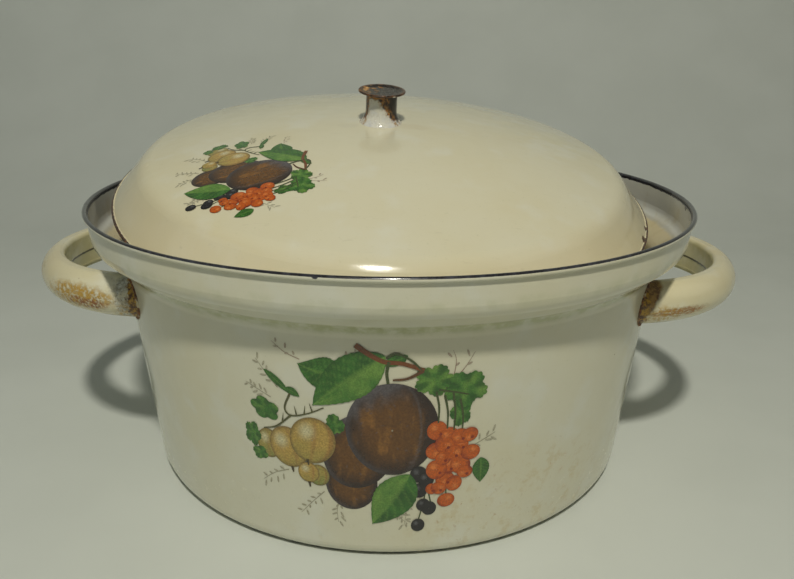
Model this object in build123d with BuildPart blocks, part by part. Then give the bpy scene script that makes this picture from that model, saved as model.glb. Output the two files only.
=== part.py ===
"""Water bath canner: enamelled steel stockpot, inset domed lid and wire jar rack.

Millimetres, +Z up. The origin is the centre of the pot's flat base, the side
handles lie along X and the front of the pot faces -Y.
"""
from math import cos, radians, sin, sqrt
import os

from build123d import *

os.makedirs("parts", exist_ok=True)

# ---- pot -------------------------------------------------------------------
wall = 1.2
base_radius = 150.2
base_corner = 9.0
shoulder_radius = 162.0
shoulder_height = 129.0
band_radius = 177.8
band_height = 141.5
lip_radius = 178.8
lip_height = 157.4
rim_radius = 179.3
rim_height = 158.2
rim_bead = 1.35

# ---- side handles ------------------------------------------------------------
handle_centre = 131.5
handle_inner_radius = 71.5
handle_depth = 14.5
handle_half_height = 12.0
handle_crown = 13.0
left_handle_level = 114.3
right_handle_level = 112.3
handle_wall = 1.4
seam_top = -0.8
seam_bottom = -8.4
seam_recess = 0.25

# ---- lid -----------------------------------------------------------------------
lid_radius = 160.6
lid_bead = 1.1
lid_wall = 1.1
lid_band_radius = 143.0
lid_band_height = 22.0
lid_crown = 43.0
lid_shoulder_fillet = 16.0
lid_x = -4.6
lid_y = 1.2
lid_z = 159.6
lid_lean = 10.6
lid_roll = 2.45

# ---- lid knob ------------------------------------------------------------------
knob_offset = -3.6
stem_radius = 9.2
stem_wall = 1.2
stem_top = 16.6
foot_radius = 13.2
foot_rise = 8.0
cap_radius = 13.9
cap_edge = 1.1
cap_rise = 1.5
cap_dish = 0.8
rivet_radius = 2.5
rivet_head_radius = 5.0
rivet_head_height = 1.6

# ---- jar rack ------------------------------------------------------------------
ring_radius = 132.0
ring_wire = 2.5
base_ring_level = 12.0
rim_ring_level = 68.0
centre_ring_radius = 46.0
post_wire = 2.0
cross_wire = 1.5
cross_pitch = 28.0
cross_count = 9
stiffener_offset = 45.0
spoke_wire = 1.5
bail_wire = 2.0
bail_bend = 4.0
bail_arch = 95.0
bail_height = 125.5
bail_lean = 9.0
eye_radius = 5.4
eye_bore = 2.08
eye_length = 9.0
sectors = 6

pot_axis = Axis.Z
side_section = Plane.XZ


def save(builder, name):
    builder.part.label = name
    export_step(builder.part, "parts/" + name + ".step")
    print(name, "volume", round(builder.part.volume, 1), "solids", len(builder.part.solids()))


# The outer line of the pot runs from the centre of the base to the lip.
pot_corners = [
    (0, 0),
    (base_radius, 0),
    (shoulder_radius, shoulder_height),
    (band_radius, band_height),
    (lip_radius, lip_height),
]
pot_bends = [base_corner, 10.0, 9.0]

# ---- pot body ------------------------------------------------------------------
with BuildPart() as pot_body:
    with BuildSketch(side_section):
        with BuildLine():
            FilletPolyline(*pot_corners, radius=pot_bends)
            offset(amount=wall, side=Side.LEFT)
        make_face()
        with Locations((rim_radius, rim_height)):
            Circle(rim_bead)
    revolve(axis=pot_axis)

with BuildPart() as pot_envelope:
    with BuildSketch(side_section):
        with BuildLine():
            FilletPolyline(*pot_corners, radius=pot_bends)
            Polyline((lip_radius, lip_height), (0, lip_height), (0, 0))
        make_face()
    revolve(axis=pot_axis)

save(pot_body, "pot_body")

# ---- side handles --------------------------------------------------------------
# Each handle is a hollow pressing that closes with a strip along its inner face.
sides = ((-1, "left", left_handle_level), (1, "right", right_handle_level))
for side, name, handle_level in sides:
    handle_plane = Plane(
        origin=(side * handle_centre, 0, handle_level),
        x_dir=(side, 0, 0),
        z_dir=(0, -side, 0),
    )
    handle_axis = Axis((side * handle_centre, 0, 0), (0, 0, 1))
    middle = handle_inner_radius + handle_depth / 2

    with BuildPart() as handle_shell:
        with BuildSketch(handle_plane):
            with Locations((handle_inner_radius + handle_depth - handle_crown, 0)):
                Circle(handle_crown)
            with Locations((middle, 0)):
                Rectangle(handle_depth, 2 * handle_half_height, mode=Mode.INTERSECT)
            inner_corners = vertices().sort_by(Axis.X)[:2]
            fillet(inner_corners, 3.0)
            outer_corners = vertices().sort_by(Axis.X)[-2:]
            fillet(outer_corners, 4.0)
            offset(amount=-handle_wall, mode=Mode.SUBTRACT)
            with Locations((handle_inner_radius, (seam_top + seam_bottom) / 2)):
                Rectangle(2.2 * handle_wall, seam_top - seam_bottom, mode=Mode.SUBTRACT)
        revolve(axis=handle_axis)
        add(pot_envelope.part, mode=Mode.SUBTRACT)

    with BuildPart() as handle_strip:
        with BuildSketch(handle_plane):
            strip_depth = handle_wall - seam_recess
            strip_middle = handle_inner_radius + seam_recess + strip_depth / 2
            with Locations((strip_middle, (seam_top + seam_bottom) / 2)):
                Rectangle(strip_depth, seam_top - seam_bottom)
        revolve(axis=handle_axis)
        add(pot_envelope.part, mode=Mode.SUBTRACT)

    save(handle_shell, "handle_" + name + "_shell")
    save(handle_strip, "handle_" + name + "_strip")

# ---- lid -----------------------------------------------------------------------
# The lid lies askew in the flared mouth: its front edge is down inside the mouth,
# its rear edge is up, and its left side is a little higher than its right.
lean = radians(lid_lean)
roll = radians(lid_roll)
lid_origin = Vector(lid_x, lid_y, lid_z)
lid_right = Vector(cos(roll), 0, -sin(roll))
lid_up = Vector(cos(lean) * sin(roll), -sin(lean), cos(lean) * cos(roll))
lid_plane = Plane(origin=lid_origin, x_dir=lid_right, z_dir=lid_up)
lid_section = Plane(origin=lid_origin, x_dir=lid_right, z_dir=lid_right.cross(lid_up))
lid_axis = Axis(lid_origin, lid_up)

knob_origin = lid_origin + lid_right * knob_offset
knob_section = Plane(origin=knob_origin, x_dir=lid_right, z_dir=lid_right.cross(lid_up))
knob_axis = Axis(knob_origin, lid_up)

crown_rise = lid_crown - lid_band_height
crown_sphere = (lid_band_radius**2 + crown_rise**2) / (2 * crown_rise)
crown_half = lid_band_radius / 2
crown_half_height = lid_crown - crown_sphere + sqrt(crown_sphere**2 - crown_half**2)

with BuildPart() as lid_dome:
    with BuildSketch(lid_section):
        with BuildLine() as lid_line:
            Line((lid_radius, 0.4), (lid_band_radius, lid_band_height))
            ThreePointArc(
                (lid_band_radius, lid_band_height),
                (crown_half, crown_half_height),
                (0, lid_crown),
            )
            fillet(lid_line.vertices().sort_by(Axis.Y)[1], lid_shoulder_fillet)
            offset(amount=lid_wall, side=Side.LEFT)
        make_face()
        with Locations((lid_radius, 0)):
            Circle(lid_bead)
    revolve(axis=lid_axis)
    with BuildSketch(knob_section):
        with Locations((rivet_radius / 2, lid_crown)):
            Rectangle(rivet_radius, 4 * lid_wall)
    revolve(axis=knob_axis, mode=Mode.SUBTRACT)

save(lid_dome, "lid_dome")

with BuildPart() as lid_envelope:
    with BuildSketch(lid_section):
        with BuildLine() as envelope_line:
            Line((lid_radius, 0.4), (lid_band_radius, lid_band_height))
            ThreePointArc(
                (lid_band_radius, lid_band_height),
                (crown_half, crown_half_height),
                (0, lid_crown),
            )
            fillet(envelope_line.vertices().sort_by(Axis.Y)[1], lid_shoulder_fillet)
            Polyline((0, lid_crown), (0, 0.4), (lid_radius, 0.4))
        make_face()
    revolve(axis=lid_axis)

# ---- lid knob ------------------------------------------------------------------
# A drawn stem with a flared foot stands on the crown and carries a rolled steel cap.
foot_level = lid_crown - 1.0
stem_level = lid_crown + foot_rise
cap_level = lid_crown + stem_top
flare_middle = (stem_radius + 1.2, lid_crown + 2.8)

with BuildPart() as knob_stem:
    with BuildSketch(knob_section):
        with BuildLine():
            ThreePointArc((foot_radius, lid_crown - 0.6), flare_middle, (stem_radius, stem_level))
            Line((stem_radius, stem_level), (stem_radius, cap_level))
            Line((stem_radius, cap_level), (stem_radius - stem_wall, cap_level))
            Line((stem_radius - stem_wall, cap_level), (stem_radius - stem_wall, foot_level))
            Line((stem_radius - stem_wall, foot_level), (foot_radius, foot_level))
            Line((foot_radius, foot_level), (foot_radius, lid_crown - 0.6))
        make_face()
    revolve(axis=knob_axis)
    add(lid_envelope.part, mode=Mode.SUBTRACT)

cap_lip = cap_level + cap_rise
with BuildPart() as knob_cap:
    with BuildSketch(knob_section):
        with BuildLine():
            Polyline(
                (0, cap_level),
                (stem_radius, cap_level),
                (cap_radius, cap_lip),
                (cap_radius, cap_lip + cap_edge),
                (cap_radius - 1.6, cap_lip + cap_edge),
                (cap_radius - 4.0, cap_lip + cap_edge - cap_dish),
                (0, cap_lip + cap_edge - cap_dish),
                (0, cap_level),
            )
        make_face()
        rolled_edge = vertices().sort_by(Axis.X)[-2:]
        fillet(rolled_edge, 0.45)
    revolve(axis=knob_axis)

# A rivet holds the cap and the stem to the dome, with its head under the dome.
rivet_seat = lid_crown - lid_wall - 0.06
with BuildPart() as knob_rivet:
    with BuildSketch(knob_section):
        with Locations((rivet_radius / 2, (rivet_seat + cap_level) / 2)):
            Rectangle(rivet_radius, cap_level - rivet_seat)
        with Locations((rivet_head_radius / 2, rivet_seat - rivet_head_height / 2)):
            Rectangle(rivet_head_radius, rivet_head_height)
    revolve(axis=knob_axis)
    head_edge = edges().filter_by(GeomType.CIRCLE).sort_by(knob_axis)[0]
    fillet(head_edge, 0.8)

save(knob_stem, "lid_knob_stem")
save(knob_cap, "lid_knob_cap")
save(knob_rivet, "lid_knob_rivet")

# ---- jar rack ------------------------------------------------------------------
# Welded round wire: two hoops, six posts that reach down as feet, a grid of cross
# wires for the jars to stand on, and a hub hoop with spokes that keeps them apart.
# The two spokes along X end at the eyes of the bail.
def hoop(radius, level, wire, name):
    with BuildPart() as ring:
        with BuildSketch(side_section):
            with Locations((radius, level)):
                Circle(wire)
        revolve(axis=pot_axis)
    save(ring, name)


hoop(ring_radius, base_ring_level, ring_wire, "rack_base_hoop")
hoop(ring_radius, rim_ring_level, ring_wire, "rack_top_hoop")
hoop(centre_ring_radius, rim_ring_level, ring_wire, "rack_hub_hoop")

post_offset = ring_radius + ring_wire + post_wire
post_bottom = wall + 0.3
post_height = rim_ring_level + ring_wire - post_bottom
with BuildPart() as rack_posts:
    with BuildSketch(Plane.XY.offset(post_bottom)):
        with PolarLocations(post_offset, sectors):
            Circle(post_wire)
    extrude(amount=post_height)
    tips = edges().filter_by(GeomType.CIRCLE)
    fillet(tips, 0.8)
save(rack_posts, "rack_posts")

cross_level = base_ring_level + ring_wire + cross_wire
with BuildPart() as rack_cross_wires:
    for index in range(cross_count):
        across = (index - (cross_count - 1) / 2) * cross_pitch
        reach = sqrt(ring_radius**2 - across**2)
        with BuildSketch(Plane.YZ.offset(-reach)):
            with Locations((across, cross_level)):
                Circle(cross_wire)
        extrude(amount=2 * reach)
save(rack_cross_wires, "rack_cross_wires")

stiffener_level = cross_level - 2 * cross_wire
stiffener_reach = sqrt((ring_radius - ring_wire) ** 2 - stiffener_offset**2) - 0.6
with BuildPart() as rack_stiffeners:
    for side in (-1, 1):
        with BuildSketch(Plane.XZ.offset(-stiffener_reach)):
            with Locations((side * stiffener_offset, stiffener_level)):
                Circle(cross_wire)
        extrude(amount=2 * stiffener_reach)
save(rack_stiffeners, "rack_stiffeners")

spoke_level = rim_ring_level + ring_wire + spoke_wire
spoke_start = centre_ring_radius - ring_wire
with BuildPart() as rack_spokes:
    for index in range(sectors):
        meets_eye = index * 360 / sectors in (0, 180)
        spoke_end = ring_radius - eye_length / 2 if meets_eye else ring_radius + ring_wire
        spoke_plane = Plane.XY.offset(spoke_level).rotated((0, 0, index * 360 / sectors))
        spoke_face = Plane(
            origin=spoke_plane.origin + spoke_plane.x_dir * spoke_start,
            z_dir=spoke_plane.x_dir,
        )
        with BuildSketch(spoke_face):
            Circle(spoke_wire)
        extrude(amount=spoke_end - spoke_start)
save(rack_spokes, "rack_spokes")

# Two rolled eyes on the top hoop hold the ends of one arched lifting bail. The bail
# stands up, leaning back a little, and the lid rests on the top of its arch.
eye_level = rim_ring_level + ring_wire + eye_radius
with BuildPart() as rack_bail_eyes:
    for side in (-1, 1):
        with BuildSketch(Plane.YZ.offset(side * ring_radius - eye_length / 2)):
            with Locations((0, eye_level)):
                Circle(eye_radius)
                Circle(eye_bore, mode=Mode.SUBTRACT)
        extrude(amount=eye_length)
save(rack_bail_eyes, "rack_bail_eyes")

bail_end = ring_radius + eye_length / 2 + 1.5
bail_leg = ring_radius - eye_length / 2 - bail_bend - bail_wire - 0.5
bail_plane = Plane(
    origin=(0, 0, eye_level),
    x_dir=(1, 0, 0),
    z_dir=(0, -cos(radians(bail_lean)), sin(radians(bail_lean))),
)
with BuildPart() as rack_bail:
    with BuildLine(bail_plane) as bail_path:
        FilletPolyline(
            (-bail_end, 0),
            (-bail_leg, 0),
            (-bail_leg, bail_height),
            (bail_leg, bail_height),
            (bail_leg, 0),
            (bail_end, 0),
            radius=[bail_bend, bail_arch, bail_arch, bail_bend],
        )
    with BuildSketch(Plane(origin=bail_path.line @ 0, z_dir=bail_path.line % 0)):
        Circle(bail_wire)
    sweep(path=bail_path.line)
save(rack_bail, "rack_bail")
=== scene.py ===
"""Looks for a water bath canner: a cream enamelled stockpot with two loop handles, its
domed lid lying askew in the flared mouth, chipped and rusted, with a fruit motif on the
front of the pot and on the lid, and a plated wire jar rack inside."""
import math
import random

import bpy
from mathutils import Matrix, Vector, noise


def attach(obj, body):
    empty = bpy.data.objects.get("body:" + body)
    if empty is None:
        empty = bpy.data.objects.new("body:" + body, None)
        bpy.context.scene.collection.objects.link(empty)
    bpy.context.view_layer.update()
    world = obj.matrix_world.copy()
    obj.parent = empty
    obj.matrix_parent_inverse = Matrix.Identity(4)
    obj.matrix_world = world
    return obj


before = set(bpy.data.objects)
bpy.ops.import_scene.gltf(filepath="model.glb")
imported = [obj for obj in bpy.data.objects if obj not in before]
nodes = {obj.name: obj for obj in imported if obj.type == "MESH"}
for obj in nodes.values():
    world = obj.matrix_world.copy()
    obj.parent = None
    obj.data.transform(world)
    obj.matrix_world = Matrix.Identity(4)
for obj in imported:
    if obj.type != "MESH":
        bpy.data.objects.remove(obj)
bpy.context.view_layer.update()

MM = 0.001
rng = random.Random(41)

# ---- places, in millimetres, as in the CAD ----
BASE_RADIUS = 150.2
SHOULDER_RADIUS = 162.0
SHOULDER_HEIGHT = 129.0
RIM_RADIUS = 179.3
RIM_HEIGHT = 158.2
HANDLE_CENTRE = 131.5
HANDLE_LEVELS = {-1: 114.3, 1: 112.3}
HANDLE_INNER = 71.5
HANDLE_DEPTH = 14.5
HANDLE_HALF = 12.0
HANDLE_CROWN = 13.0
SEAM_DROP = 0.8
LID_RADIUS = 160.6
LID_BAND_RADIUS = 143.0
LID_BAND_HEIGHT = 22.0
LID_CROWN = 43.0
KNOB_OFFSET = -3.6
CAP_LEVEL = LID_CROWN + 16.6
LID_LEAN = 10.6
LID_ROLL = 2.45
lean = math.radians(LID_LEAN)
roll = math.radians(LID_ROLL)
lid_origin = Vector((-4.6, 1.2, 159.6))
lid_right = Vector((math.cos(roll), 0, -math.sin(roll)))
upright = math.cos(lean)
lid_up = Vector((upright * math.sin(roll), -math.sin(lean), upright * math.cos(roll)))
lid_back = lid_up.cross(lid_right)
knob_origin = lid_origin + lid_right * KNOB_OFFSET


# ---- shader helper ----
class Shader:
    """One material: a Principled shader and short calls that add nodes to it."""

    def __init__(self, name, roughness=0.3, metallic=0.0, coat=0.0):
        self.material = bpy.data.materials.new(name)
        self.material.use_nodes = True
        self.tree = self.material.node_tree
        self.surface = self.tree.nodes["Principled BSDF"]
        self.surface.inputs["Roughness"].default_value = roughness
        self.surface.inputs["Metallic"].default_value = metallic
        self.surface.inputs["Coat Weight"].default_value = coat
        self.surface.inputs["Coat Roughness"].default_value = 0.06
        coords = self.tree.nodes.new("ShaderNodeTexCoord")
        scaled = self.vector("SCALE", coords.outputs["Object"])
        scaled.inputs["Scale"].default_value = 1000.0
        self.place = scaled.outputs[0]
        geometry = self.tree.nodes.new("ShaderNodeNewGeometry")
        self.normal = geometry.outputs["Normal"]

    def put(self, socket, value):
        if isinstance(value, bpy.types.NodeSocket):
            self.tree.links.new(value, socket)
        elif isinstance(value, tuple) and socket.type == "RGBA":
            socket.default_value = (*value[:3], 1.0)
        else:
            socket.default_value = value

    def vector(self, operation, a, b=None):
        node = self.tree.nodes.new("ShaderNodeVectorMath")
        node.operation = operation
        self.put(node.inputs[0], a)
        if b is not None:
            self.put(node.inputs[1], tuple(b) if isinstance(b, Vector) else b)
        return node

    def dot(self, a, b):
        return self.vector("DOT_PRODUCT", a, b).outputs["Value"]

    def math(self, operation, a, b=None, clamp=False):
        node = self.tree.nodes.new("ShaderNodeMath")
        node.operation = operation
        node.use_clamp = clamp
        self.put(node.inputs[0], a)
        if b is not None:
            self.put(node.inputs[1], b)
        return node.outputs[0]

    def axes(self, origin=None, right=None, back=None, up=None):
        """x, y and z in millimetres, in the shared frame or in a frame of a piece's own."""
        place = self.place
        if origin is not None:
            place = self.vector("SUBTRACT", place, origin).outputs[0]
            return self.dot(place, right), self.dot(place, back), self.dot(place, up)
        split = self.tree.nodes.new("ShaderNodeSeparateXYZ")
        self.put(split.inputs[0], place)
        return split.outputs[0], split.outputs[1], split.outputs[2]

    def length(self, a, b):
        squares = self.math("ADD", self.math("MULTIPLY", a, a), self.math("MULTIPLY", b, b))
        return self.math("SQRT", squares)

    def noise(self, size, detail=3.0, roughness=0.55, stretch=None, shift=0.0):
        """Noise whose features are about size millimetres across, from 0 to 1."""
        place = self.place
        if stretch is not None:
            place = self.vector("MULTIPLY", place, stretch).outputs[0]
        if shift:
            place = self.vector("ADD", place, (shift, shift, shift)).outputs[0]
        node = self.tree.nodes.new("ShaderNodeTexNoise")
        self.put(node.inputs["Vector"], place)
        node.inputs["Scale"].default_value = 1.0 / size
        node.inputs["Detail"].default_value = detail
        node.inputs["Roughness"].default_value = roughness
        return node.outputs["Fac"]

    def cells(self, size, feature="F1"):
        """Distance to the nearest of scattered points, or to the edges between them."""
        node = self.tree.nodes.new("ShaderNodeTexVoronoi")
        node.feature = feature
        self.put(node.inputs["Vector"], self.place)
        node.inputs["Scale"].default_value = 1.0 / size
        return self.math("MULTIPLY", node.outputs["Distance"], size)

    def rise(self, value, low, high, to_low=0.0, to_high=1.0):
        """A smooth step from to_low at low to to_high at high."""
        node = self.tree.nodes.new("ShaderNodeMapRange")
        node.interpolation_type = "SMOOTHSTEP"
        self.put(node.inputs["Value"], value)
        limits = (("From Min", low), ("From Max", high), ("To Min", to_low), ("To Max", to_high))
        for key, number in limits:
            node.inputs[key].default_value = number
        return node.outputs["Result"]

    def between(self, value, low, high, soft):
        above = self.rise(value, low - soft, low + soft)
        below = self.rise(value, high - soft, high + soft, 1.0, 0.0)
        return self.both(above, below)

    def both(self, *masks):
        result = masks[0]
        for mask in masks[1:]:
            result = self.math("MULTIPLY", result, mask)
        return result

    def either(self, *masks):
        result = masks[0]
        for mask in masks[1:]:
            result = self.math("MAXIMUM", result, mask)
        return result

    def wobble(self, value, size, amount, detail=3.0):
        """value plus noise of that size, up to half of amount each way."""
        centred = self.math("SUBTRACT", self.noise(size, detail), 0.5)
        offset = self.math("MULTIPLY", centred, 2.0 * amount)
        return self.math("ADD", value, offset)

    def mix(self, factor, a, b):
        node = self.tree.nodes.new("ShaderNodeMix")
        node.data_type = "RGBA"
        self.put(node.inputs["Factor"], factor)
        self.put(node.inputs[6], a)
        self.put(node.inputs[7], b)
        return node.outputs[2]

    def near(self, axes, centre, reach, soft=0.4):
        """1 inside the ellipsoid of that centre and reach, fading to 0 at its edge."""
        total = None
        for value, middle, size in zip(axes, centre, reach):
            part = self.math("DIVIDE", self.math("SUBTRACT", value, middle), size)
            part = self.math("MULTIPLY", part, part)
            total = part if total is None else self.math("ADD", total, part)
        return self.rise(total, 1.0 - soft, 1.0 + soft, 1.0, 0.0)

    def specks(self, size, radius, patchy=40.0):
        """Small round pits scattered one to a cell, more of them in some places."""
        limit = self.rise(self.noise(patchy, 1.0), 0.45, 0.7, 0.0, radius)
        reach = self.math("SUBTRACT", limit, self.cells(size))
        return self.rise(reach, 0.0, 0.15)

    def colour(self, value):
        self.put(self.surface.inputs["Base Color"], value)

    def rough(self, value):
        self.put(self.surface.inputs["Roughness"], value)

    def relief(self, *layers):
        """Bump from (height in millimetres, weight) layers, each on top of the last."""
        normal = None
        for height, depth in layers:
            node = self.tree.nodes.new("ShaderNodeBump")
            node.inputs["Distance"].default_value = depth * MM
            node.inputs["Strength"].default_value = 1.0
            self.put(node.inputs["Height"], height)
            if normal is not None:
                self.put(node.inputs["Normal"], normal)
            normal = node.outputs[0]
        self.put(self.surface.inputs["Normal"], normal)

    def dress(self, *names):
        for name in names:
            data = nodes[name].data
            data.materials.clear()
            data.materials.append(self.material)


CREAM = (0.70, 0.665, 0.485)
CREAM_WARM = (0.68, 0.625, 0.415)
CREAM_PALE = (0.72, 0.71, 0.585)
GROUND = (0.018, 0.017, 0.020)
RUST = (0.28, 0.105, 0.022)
RUST_DARK = (0.075, 0.032, 0.014)
RUST_YELLOW = (0.47, 0.27, 0.025)
GRIME_AND_SHADE = (0.33, 0.35, 0.16)


def enamel_base(shader, base, warm, pale):
    """Enamel's own unevenness: clouds of tint, fine speckle and small dark pits."""
    clouds = shader.rise(shader.noise(70.0, 4.0), 0.30, 0.80)
    tone = shader.mix(clouds, base, warm)
    bright = shader.both(shader.rise(shader.noise(24.0, 3.0, shift=90.0), 0.5, 0.75), 0.55)
    tone = shader.mix(bright, tone, pale)
    fine = shader.rise(shader.noise(1.6, 2.0, shift=30.0), 0.62, 0.8, 0.0, 0.16)
    tone = shader.mix(fine, tone, GRIME_AND_SHADE)
    return tone


def enamel_relief(shader, damage):
    """Orange-peel waves in the fired glass, and the damage standing below it."""
    waves = shader.noise(9.0, 2.0, 0.4, shift=12.0)
    peel = shader.noise(1.1, 2.0, 0.5, shift=55.0)
    hollow = shader.math("SUBTRACT", 1.0, damage)
    shader.relief((waves, 0.10), (peel, 0.012), (hollow, 0.22))


# ---- pot ----
def pot_material():
    s = Shader("pot_enamel_worn", coat=0.4)
    x, y, z = s.axes()
    radius = s.length(x, y)
    radial = s.vector("MULTIPLY", s.place, (1.0, 1.0, 0.0)).outputs[0]
    outward = s.dot(s.vector("NORMALIZE", radial).outputs[0], s.normal)
    inside = s.rise(outward, -0.12, 0.02, 1.0, 0.0)
    inside = s.both(inside, s.rise(z, 1.0, 1.15))
    tone = enamel_base(s, (0.655, 0.64, 0.50), (0.64, 0.605, 0.43), (0.67, 0.675, 0.58))

    # Rust-tinted drips and spots low on the front right.
    stain = s.near((x, y, z), (72.0, -135.0, 26.0), (66.0, 48.0, 30.0), 0.75)
    spots = s.rise(s.noise(7.0, 5.0, 0.68), 0.50, 0.66)
    tone = s.mix(s.both(stain, spots, 0.34), tone, (0.52, 0.40, 0.16))
    deep = s.rise(s.noise(3.1, 4.0, 0.65, shift=70.0), 0.60, 0.72)
    tone = s.mix(s.both(stain, deep, 0.60), tone, (0.34, 0.20, 0.06))
    scuffs = s.both(s.rise(z, 6.0, 46.0, 1.0, 0.0), s.rise(s.noise(5.0, 4.0, 0.7, shift=150.0), 0.56, 0.72))
    tone = s.mix(s.both(scuffs, 0.35), tone, (0.42, 0.38, 0.20))

    # Painted shade darkens the crease under the flared mouth, where the wall turns under, in a greenish
    # grime tint.
    level = s.wobble(z, 18.0, 1.6)
    crease = s.both(s.between(level, 127.6, 133.5, 1.8), s.rise(radius, 166.0, 168.0, 1.0, 0.0))
    patchy = s.rise(s.noise(6.0, 4.0, 0.6, shift=8.0), 0.30, 0.62, 0.35, 0.85)
    tone = s.mix(s.both(crease, patchy), tone, GRIME_AND_SHADE)
    # Painted shade under the lip: a patchy, greenish darker band.
    thin = s.rise(s.noise(11.0, 4.0, shift=31.0), 0.4, 0.7, 0.05, 0.42)
    under_lip_shade = s.both(s.between(level, 143.0, 148.0, 2.2), thin)
    tone = s.mix(under_lip_shade, tone, (0.44, 0.45, 0.27))

    # Inside, the ledge is toned yellower than the lip, and a grey line of painted shade marks the fold
    # between them.
    ledge = s.rise(s.wobble(radius, 14.0, 1.5), 170.5, 174.5, 1.0, 0.0)
    inner = s.mix(ledge, (0.66, 0.66, 0.58), (0.66, 0.55, 0.30))
    # Painted shade along the fold between lip and ledge.
    line = s.between(s.wobble(radius, 12.0, 1.2), 171.6, 173.6, 1.0)
    inner = s.mix(s.both(line, 0.5), inner, (0.36, 0.36, 0.32))
    inner = s.mix(s.rise(s.noise(16.0, 5.0, shift=44.0), 0.5, 0.75, 0.0, 0.5), inner, (0.52, 0.42, 0.20))
    scale = s.rise(s.noise(8.0, 5.0, 0.7, shift=77.0), 0.45, 0.7)
    floor_scale = s.both(s.rise(z, 2.0, 60.0, 1.0, 0.0), scale)
    inner = s.mix(s.both(floor_scale, 0.6), inner, (0.40, 0.33, 0.19))
    tone = s.mix(inside, tone, inner)

    # The rolled rim carries dark enamel, ragged at its inner edge.
    over = s.math("MULTIPLY", s.math("SUBTRACT", z, RIM_HEIGHT), 0.93)
    across = s.math("MULTIPLY", s.math("SUBTRACT", radius, RIM_RADIUS), 0.37)
    side = s.math("SUBTRACT", over, across)
    outer_edge = s.rise(s.wobble(side, 3.0, 0.10, 4.0), -0.02, 0.10)
    ragged = s.wobble(s.wobble(side, 2.4, 0.75, 4.0), 8.0, 0.35)
    inner_edge = s.rise(ragged, -0.75, -0.60)
    outer_half = s.rise(radius, RIM_RADIUS - 0.3, RIM_RADIUS + 0.1)
    rim = s.mix(outer_half, inner_edge, outer_edge)
    rim = s.both(rim, s.rise(z, 154.5, 155.5))
    # Chips let the dark ground coat spread past the band.
    chip_places = (
        ((176.4, -34.6, 157.6), (3.4, 5.5, 3.2)),
        ((150.0, 96.0, 157.5), (2.6, 3.2, 2.4)),
        ((-30.0, -176.8, 158.6), (2.0, 1.6, 0.9)),
        ((-158.0, 80.0, 157.8), (2.6, 3.4, 2.2)),
        ((60.0, 166.5, 157.6), (3.6, 2.8, 2.6)),
    )
    chips = None
    for centre, reach in chip_places:
        chip_and_highlight = s.near(tuple(s.wobble(a, 2.4, 1.3, 4.0) for a in (x, y, z)), centre, reach, 0.2)
        chips = chip_and_highlight if chips is None else s.either(chips, chip_and_highlight)
    rim = s.either(rim, chips)
    blue_black = s.mix(s.rise(s.noise(4.0, 4.0, 0.6), 0.4, 0.7), GROUND, (0.045, 0.047, 0.058))
    # Nicks in the dark band show pale enamel and steel.
    nicks = s.both(s.rise(s.noise(2.6, 4.0, 0.7, shift=210.0), 0.68, 0.72), rim)
    blue_black = s.mix(nicks, blue_black, (0.42, 0.39, 0.31))
    tone = s.mix(rim, tone, blue_black)

    # Painted contact shadow: the very foot of the pot is darkened in patches, like scuffs to the ground
    # coat.
    foot_patches = s.rise(s.noise(6.0, 5.0, 0.7, shift=99.0), 0.38, 0.52)
    foot_shadow = s.both(s.rise(s.wobble(z, 5.0, 0.8), 0.6, 1.1, 1.0, 0.0), foot_patches)
    tone = s.mix(foot_shadow, tone, (0.06, 0.055, 0.05))
    pits = s.specks(16.0, 0.45)
    tone = s.mix(s.both(pits, 0.85), tone, (0.12, 0.075, 0.04))
    s.colour(tone)
    rough = s.rise(s.noise(14.0, 4.0, 0.6, shift=5.0), 0.3, 0.75, 0.13, 0.27)
    rough = s.math("ADD", rough, s.both(s.either(s.both(stain, deep), foot_shadow, scuffs), 0.25))
    s.rough(rough)
    enamel_relief(s, s.either(s.both(rim, nicks), foot_shadow, pits))
    return s


pot_material().dress("pot_body")


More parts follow.
